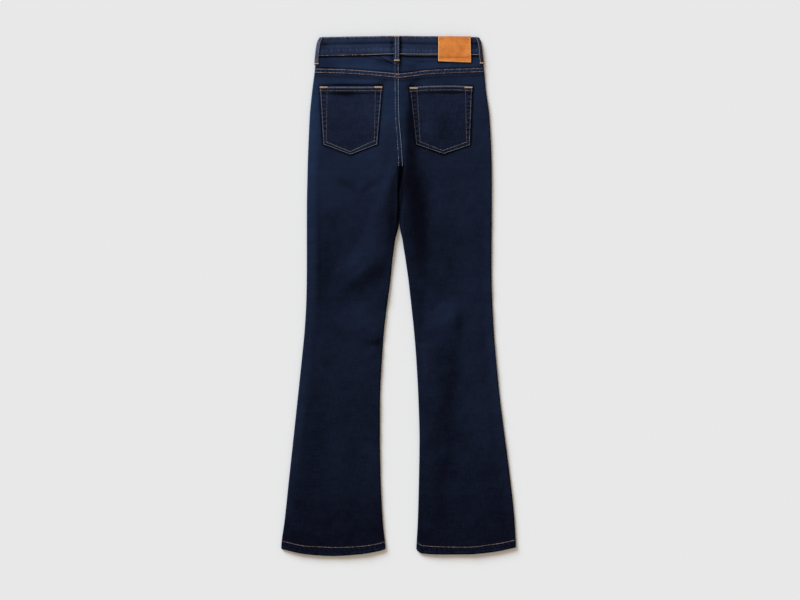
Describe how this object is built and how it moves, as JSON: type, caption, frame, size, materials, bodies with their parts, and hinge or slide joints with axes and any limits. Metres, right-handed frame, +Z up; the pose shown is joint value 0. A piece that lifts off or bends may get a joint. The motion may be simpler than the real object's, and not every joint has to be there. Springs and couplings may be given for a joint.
{
  "type": "flared jeans",
  "caption": "Dark denim flared jeans laid flat back side up, with yoke, patch pockets, belt loops, plain leather patch and single-row hems.",
  "frame": {"origin": "on the surface the jeans lie on, under the middle of their outline", "axes": "+Z up from the surface, +Y towards the waist, +X towards the wearer's right, with the back side up"},
  "size_m": [0.4835, 1.0698, 0.0172],
  "materials": {
    "denim": "dark indigo stretch twill, matt with a soft sheen",
    "waistband_denim": "doubled dark indigo twill, lightly worn along its lower edge",
    "pocket_denim": "dark indigo twill, slightly greyer than the legs",
    "leather": "tan leather, satin, with a paler cut edge",
    "metal": "brushed copper-toned metal"
  },
  "bodies": {
    "root": {"back_leg_left": "denim", "back_leg_right": "denim", "yoke_left": "denim", "yoke_right": "denim", "front_leg_left": "denim", "front_leg_right": "denim", "front_pocket_facing_left": "denim", "front_pocket_facing_right": "denim", "fly_lap": "denim", "waistband": "waistband_denim", "belt_loop_centre_back": "waistband_denim", "belt_loop_side_left": "waistband_denim", "belt_loop_side_right": "waistband_denim", "belt_loop_front_left": "waistband_denim", "belt_loop_front_right": "waistband_denim", "back_pocket_left": "pocket_denim", "back_pocket_right": "pocket_denim", "leather_patch": "leather", "waist_button": "metal"}
  },
  "joints": []
}
